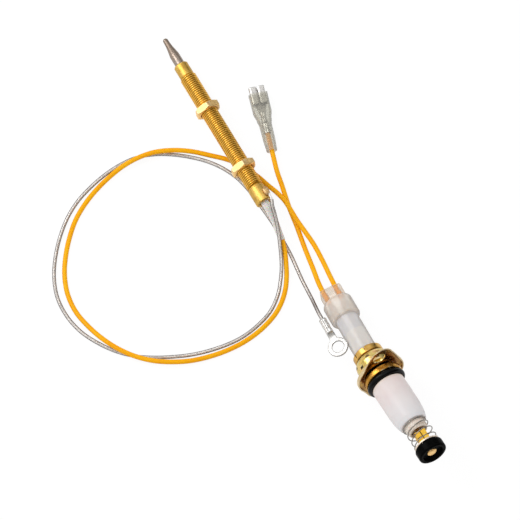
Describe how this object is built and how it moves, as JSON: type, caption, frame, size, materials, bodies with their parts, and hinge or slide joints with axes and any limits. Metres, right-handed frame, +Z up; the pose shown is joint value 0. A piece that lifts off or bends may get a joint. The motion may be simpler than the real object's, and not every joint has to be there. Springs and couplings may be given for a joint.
{
  "type": "thermocouple",
  "caption": "Threaded flame probe with lock nuts on a looped insulated lead, ending in a plug with a flanged magnet valve and rubber disc, a ring terminal and a booted spade terminal.",
  "frame": {"origin": "centre of the footprint, on the plane the harness lies on", "axes": "+Z up from the bench; the magnet unit points towards +X -Y and the probe tip towards -X +Y"},
  "size_m": [0.1768, 0.2117, 0.0347],
  "materials": {
    "brass_turned": "turned, satin",
    "brass_nut": "milled, satin",
    "yellow_passivated_steel": "pressed sheet steel with a yellow passivated finish",
    "junction_steel": "turned and swaged, dull",
    "spring_steel": "drawn wire",
    "soft_iron": "ground",
    "tinned_plate": "bright tin plate",
    "copper": "bare copper wire, drawn",
    "solder": "reflowed alloy, smooth",
    "tinned_strand": "stranded tinned wire",
    "orange_insulation": "smooth extruded",
    "clear_jacket": "clear extruded plastic",
    "glass_sleeve": "woven glass sleeve, coated",
    "clear_boot": "soft clear plastic",
    "natural_nylon": "moulded, translucent",
    "white_hood_plastic": "moulded",
    "ceramic": "fired, unglazed",
    "black_rubber": "moulded",
    "dark_insert": "moulded"
  },
  "bodies": {
    "harness": {"threaded_tube": "brass_turned", "probe_tip": "junction_steel", "inner_conductor": "copper", "insulator_bush_front": "ceramic", "insulator_bush_rear": "ceramic", "splice_ferrule": "tinned_plate", "splice_sleeve": "glass_sleeve", "ground_solder_joint": "solder", "main_lead_insulation": "orange_insulation", "main_lead_core": "copper", "ground_lead_jacket": "clear_jacket", "ground_lead_strand": "tinned_strand", "switch_lead_insulation": "orange_insulation", "switch_lead_core": "copper", "spade_terminal": "tinned_plate", "ring_terminal": "tinned_plate", "plug_housing": "natural_nylon", "plug_contact_left": "brass_turned", "plug_contact_right": "brass_turned"},
    "front_nut": {"lock_nut_front": "brass_nut"},
    "rear_nut": {"lock_nut_rear": "brass_nut"},
    "boot": {"spade_boot": "clear_boot"},
    "magnet_unit": {"clamp_nut": "brass_nut", "magnet_base": "brass_turned", "socket_insert": "dark_insert", "contact_pin_left": "brass_turned", "contact_pin_right": "brass_turned", "o_ring": "black_rubber", "hood": "white_hood_plastic", "magnet_core": "soft_iron", "coil_left": "copper", "coil_right": "copper", "return_spring": "spring_steel"},
    "flange": {"flange_plate": "yellow_passivated_steel"},
    "valve": {"armature": "soft_iron", "valve_stem": "brass_turned", "stem_hub": "brass_turned", "spring_seat_washer": "tinned_plate", "valve_disc": "black_rubber", "stem_rivet": "brass_turned"}
  },
  "joints": [
    {"name": "front_nut_travel", "type": "slide", "parent": "harness", "child": "front_nut", "axis": [-0.4916, 0.8701, -0.0344], "range_m": [-0.014, 0.018]},
    {"name": "rear_nut_travel", "type": "slide", "parent": "harness", "child": "rear_nut", "axis": [-0.4916, 0.8701, -0.0344], "range_m": [-0.009, 0.012]},
    {"name": "boot_pull_back", "type": "slide", "parent": "harness", "child": "boot", "axis": [0.2256, -0.9742, 0], "range_m": [0, 0.01]},
    {"name": "magnet_unplug", "type": "slide", "parent": "harness", "child": "magnet_unit", "axis": [0.4313, -0.8724, 0.23], "range_m": [0, 0.02]},
    {"name": "flange_turn", "type": "hinge", "parent": "magnet_unit", "child": "flange", "pos_m": [0.06022, -0.06172, 0.0173], "axis": [0.4699, -0.8522, 0.23], "continuous": true},
    {"name": "valve_press", "type": "slide", "parent": "magnet_unit", "child": "valve", "axis": [-0.4699, 0.8522, -0.23], "range_m": [0, 0.004], "deforming": ["return_spring"]}
  ]
}
